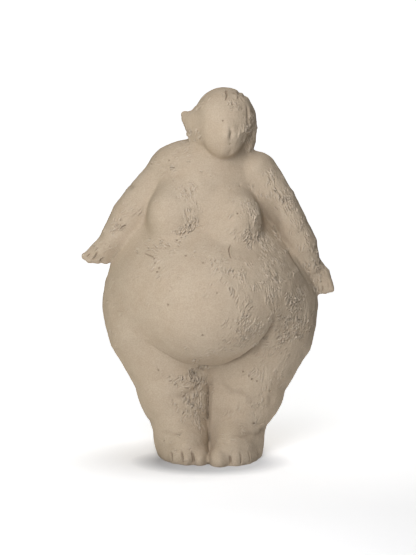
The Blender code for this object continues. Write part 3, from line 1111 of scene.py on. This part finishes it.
def clay_bump(shader):
    """The grain of the clay, and upright shreds inside the torn patches."""
    grain = shader.maths("ADD", shader.noise(1500, 4), shader.noise(420, 3))
    strength, height = GRAIN_BUMP
    inputs = {"Strength": strength, "Distance": height, "Height": grain}
    grained = shader.add("ShaderNodeBump", inputs)["Normal"]
    inputs = {"Vector": shader.place, "Rotation": (0, 0.3, 0), "Scale": (1, 1, 0.3)}
    upright = shader.add("ShaderNodeMapping", inputs)["Vector"]
    inputs = {"Vector": upright, "Scale": 700, "Detail": 2, "Distortion": 0.4}
    shreds = shader.add("ShaderNodeTexNoise", inputs)["Fac"]
    shredded = shader.maths("MULTIPLY", shreds, shader.mark("torn"))
    strength, height = SHRED_BUMP
    inputs = {"Strength": strength, "Distance": height, "Height": shredded, "Normal": grained}
    return shader.add("ShaderNodeBump", inputs)["Normal"]


def clay_material():
    shader = Shader("pale_clay")
    return shader.finish({
        "Base Color": clay_colour(shader),
        "Roughness": CLAY_ROUGHNESS,
        "Specular IOR Level": CLAY_SHINE,
        "Normal": clay_bump(shader),
    })


# The floor's glow from front to back: its first and last Y, and (share of the way, strength)
GLOW_REACH = (-0.4, 1.4)
GLOW = ((0.0, 0.21), (0.055, 0.19), (0.11, 0.23), (0.167, 0.38), (0.222, 0.53), (0.33, 0.71), (1.0, 0.89))

# Its sides: the middle's X, how much it widens with Y, where it starts and ends to fade, and what stays
GLOW_MIDDLE = -0.04
GLOW_WIDENING = 0.14
GLOW_EDGE = (0.22, 0.30)
GLOW_LEFT_OVER = 0.08

# Painted shadow round the feet, taken out of the glow, and under them, darkening the colour: (x, y, half
# width, half depth)
SHADE_AROUND = (-0.032, -0.038, 0.104, 0.088)
SHADE_UNDER = (0.001, -0.047, 0.066, 0.054)
# Floor colour, from white to the painted shadow under the feet
FLOOR_TONES = ((0, grey(0.88)), (0.38, (0.38, 0.38, 0.39, 1)))
FLOOR_ROUGHNESS = 0.9


def floor_glow(shader):
    """How much the floor glows as painted light: more towards the back, and less at the sides, with a
    painted shadow round the feet.
    """
    axes = shader.add("ShaderNodeSeparateXYZ", {"Vector": shader.place})
    depth = shader.map_range(axes["Y"], *GLOW_REACH, 0, 1)
    glow = shader.ramp(depth, [(share, grey(strength)) for share, strength in GLOW])
    aside = shader.maths("ABSOLUTE", shader.maths("ADD", axes["X"], -GLOW_MIDDLE))
    spread = shader.maths("MULTIPLY_ADD", axes["Y"], -GLOW_WIDENING, aside)
    within = shader.map_range(spread, *GLOW_EDGE, 1, GLOW_LEFT_OVER)
    # painted shadow round the feet, taken out of the glow
    lit = shader.maths("MULTIPLY_ADD", shader.oval(*SHADE_AROUND), -1, 1, clamp=True)
    return shader.maths("MULTIPLY", shader.maths("MULTIPLY", glow, within), lit)


def studio_white():
    """White that glows a little round the figure and behind it, where the backdrop is far off, with a
    painted shadow darkening it under the feet.
    """
    shader = Shader("studio_white")
    return shader.finish({
        # painted shadow under the feet
        "Base Color": shader.ramp(shader.oval(*SHADE_UNDER), FLOOR_TONES),
        "Roughness": FLOOR_ROUGHNESS,
        "Emission Color": (1, 1, 1, 1),
        "Emission Strength": floor_glow(shader),
    })


# The studio

CAMERA = (0, -1.40, 0.30)
AIM = (0, 0, 0.144)
LENS = 111
SENSOR = 36
MIDDLE = (0, 0, 0.15)
ROOM_LIGHT = 0.025

# Lights: (name, azimuth, elevation, distance, size, power, tint); azimuth 0 is in front, below 0 left
LIGHTS = (
    ("key", -15, 24, 0.60, 0.40, 2.95, (1, 1, 1.02)),
    ("top", 10, 60, 0.60, 0.36, 0.85, (1, 1, 1)),
    ("back", 168, 60, 0.60, 0.36, 0.55, (1, 1, 1)),
    ("side", -90, 5, 0.80, 0.26, 0.8, (1, 0.97, 0.72)),
)

# The floor: its front and back ends, the curve up to the backdrop, the backdrop's top and the half width
FLOOR_NEAR, FLOOR_FAR = -2.5, 1.2
FLOOR_CURVE = 0.8
BACKDROP_TOP = 2.6
FLOOR_SIDE = 3.0
CURVE_STEPS = 12


def look_at(made, target):
    way = Vector(target) - made.location
    made.rotation_euler = way.to_track_quat("-Z", "Y").to_euler()


def set_camera():
    camera = new_object("camera", bpy.data.cameras.new("camera"))
    camera.data.lens = LENS
    camera.data.sensor_width = SENSOR
    camera.location = CAMERA
    look_at(camera, AIM)
    bpy.context.scene.camera = camera


def soft_light(name, azimuth, elevation, distance, size, power, tint):
    """A square light that faces the figure's middle."""
    turn, rise = math.radians(azimuth), math.radians(elevation)
    way = Vector((math.sin(turn) * math.cos(rise), -math.cos(turn) * math.cos(rise), math.sin(rise)))
    light = bpy.data.lights.new(name, "AREA")
    light.size = size
    light.energy = power
    light.color = tint
    made = new_object(name, light)
    made.location = Vector(MIDDLE) + way * distance
    look_at(made, MIDDLE)


def set_world():
    world = bpy.data.worlds.new("soft_room")
    world.use_nodes = True
    background = world.node_tree.nodes["Background"]
    background.inputs["Color"].default_value = (1, 1, 1, 1)
    background.inputs["Strength"].default_value = ROOM_LIGHT
    bpy.context.scene.world = world


def studio_floor():
    """A floor that curves up behind into a plain backdrop."""
    profile = [(FLOOR_NEAR, 0), (FLOOR_FAR, 0)]
    for step in range(1, CURVE_STEPS + 1):
        turn = math.radians(90 * step / CURVE_STEPS)
        profile.append((FLOOR_FAR + FLOOR_CURVE * math.sin(turn), FLOOR_CURVE * (1 - math.cos(turn))))
    profile.append((FLOOR_FAR + FLOOR_CURVE, BACKDROP_TOP))
    bm = bmesh.new()
    rows = [[bm.verts.new((side * FLOOR_SIDE, y, z)) for side in (LEFT, RIGHT)] for y, z in profile]
    for (a, b), (c, d) in zip(rows[:-1], rows[1:]):
        bm.faces.new((a, b, d, c))
    mesh = bpy.data.meshes.new("studio_floor")
    bm.to_mesh(mesh)
    bm.free()
    mesh.shade_smooth()
    mesh.materials.append(studio_white())
    floor = new_object("studio_floor", mesh)


def figurine():
    mesh = carve(figure(), VOXEL)
    stand_in_cad_box(mesh)
    clay = Clay(mesh)
    model_by_hand(clay)
    brush(clay)
    crumple_patches(clay)
    tear_strokes(clay)
    prick_pinholes(clay)
    draw_marks(clay)
    comb_lock(clay)
    part_toes(clay)
    mesh = clay.finish()
    flatten_soles(mesh)
    mesh = thin(mesh)
    flatten_soles(mesh)
    keep_in_cad_box(mesh)
    mesh.name = "modelled_figurine"
    mesh.materials.clear()
    mesh.materials.append(clay_material())
    mesh.shade_smooth()
    made = new_object("modelled_figurine", mesh)
    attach(made, BODY)
    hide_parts(NODE)


figurine()
studio_floor()
set_world()
set_camera()
for light in LIGHTS:
    soft_light(*light)
bpy.context.scene.view_settings.view_transform = "Standard"
